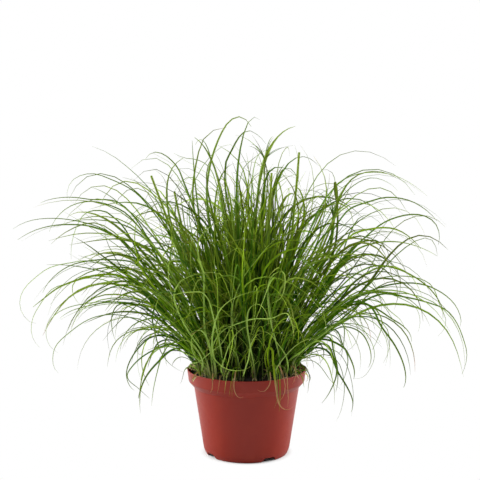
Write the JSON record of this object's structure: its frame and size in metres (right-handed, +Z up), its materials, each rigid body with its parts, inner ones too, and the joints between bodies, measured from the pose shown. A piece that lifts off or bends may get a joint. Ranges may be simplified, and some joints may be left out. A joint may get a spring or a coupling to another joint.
{
  "type": "potted umbrella sedge",
  "caption": "Round plastic nursery pot of dark soil with a fountain of narrow, arching sedge leaves and upright culms that open into drooping bracts. It stands on its flat foot.",
  "frame": {"origin": "centre of the pot's foot, on the surface that the pot stands on", "axes": "+Z up the pot's axis; +X to the viewer's right in the picture, along the plant's widest spread; -Y towards the viewer"},
  "size_m": [0.4477, 0.4028, 0.3389],
  "materials": {
    "pot": "satin red-brown moulded plastic",
    "soil": "dark, crumbly potting soil",
    "culm": "smooth light green stem",
    "leaf": "satin green grass-like leaf"
  },
  "bodies": {
    "root": {"pot": "pot", "soil": "soil", "culm_01": "culm", "culm_02": "culm", "culm_03": "culm", "culm_04": "culm", "culm_05": "culm", "culm_06": "culm", "culm_07": "culm", "culm_08": "culm", "culm_09": "culm", "culm_10": "culm", "leaf_bunch_01": "leaf", "leaf_bunch_02": "leaf", "leaf_bunch_03": "leaf", "leaf_bunch_04": "leaf", "leaf_bunch_05": "leaf", "leaf_bunch_06": "leaf", "leaf_bunch_07": "leaf", "leaf_bunch_08": "leaf", "leaf_bunch_09": "leaf", "leaf_bunch_10": "leaf", "leaf_bunch_11": "leaf", "leaf_bunch_12": "leaf", "leaf_bunch_13": "leaf", "leaf_bunch_14": "leaf", "leaf_bunch_15": "leaf", "leaf_bunch_16": "leaf", "leaf_bunch_17": "leaf", "leaf_bunch_18": "leaf", "leaf_bunch_19": "leaf", "leaf_bunch_20": "leaf", "leaf_bunch_21": "leaf", "leaf_bunch_22": "leaf", "leaf_bunch_23": "leaf", "leaf_bunch_24": "leaf", "leaf_bunch_25": "leaf", "leaf_bunch_26": "leaf", "leaf_bunch_27": "leaf", "leaf_bunch_28": "leaf", "leaf_bunch_29": "leaf", "leaf_bunch_30": "leaf", "leaf_bunch_31": "leaf", "leaf_bunch_32": "leaf", "leaf_bunch_33": "leaf", "leaf_bunch_34": "leaf", "leaf_bunch_35": "leaf", "leaf_bunch_36": "leaf", "leaf_bunch_37": "leaf", "leaf_bunch_38": "leaf", "leaf_bunch_39": "leaf", "leaf_bunch_40": "leaf", "leaf_bunch_41": "leaf", "leaf_bunch_42": "leaf", "leaf_bunch_43": "leaf", "leaf_bunch_44": "leaf", "leaf_bunch_45": "leaf", "leaf_bunch_46": "leaf", "leaf_bunch_47": "leaf", "leaf_bunch_48": "leaf"}
  },
  "joints": []
}
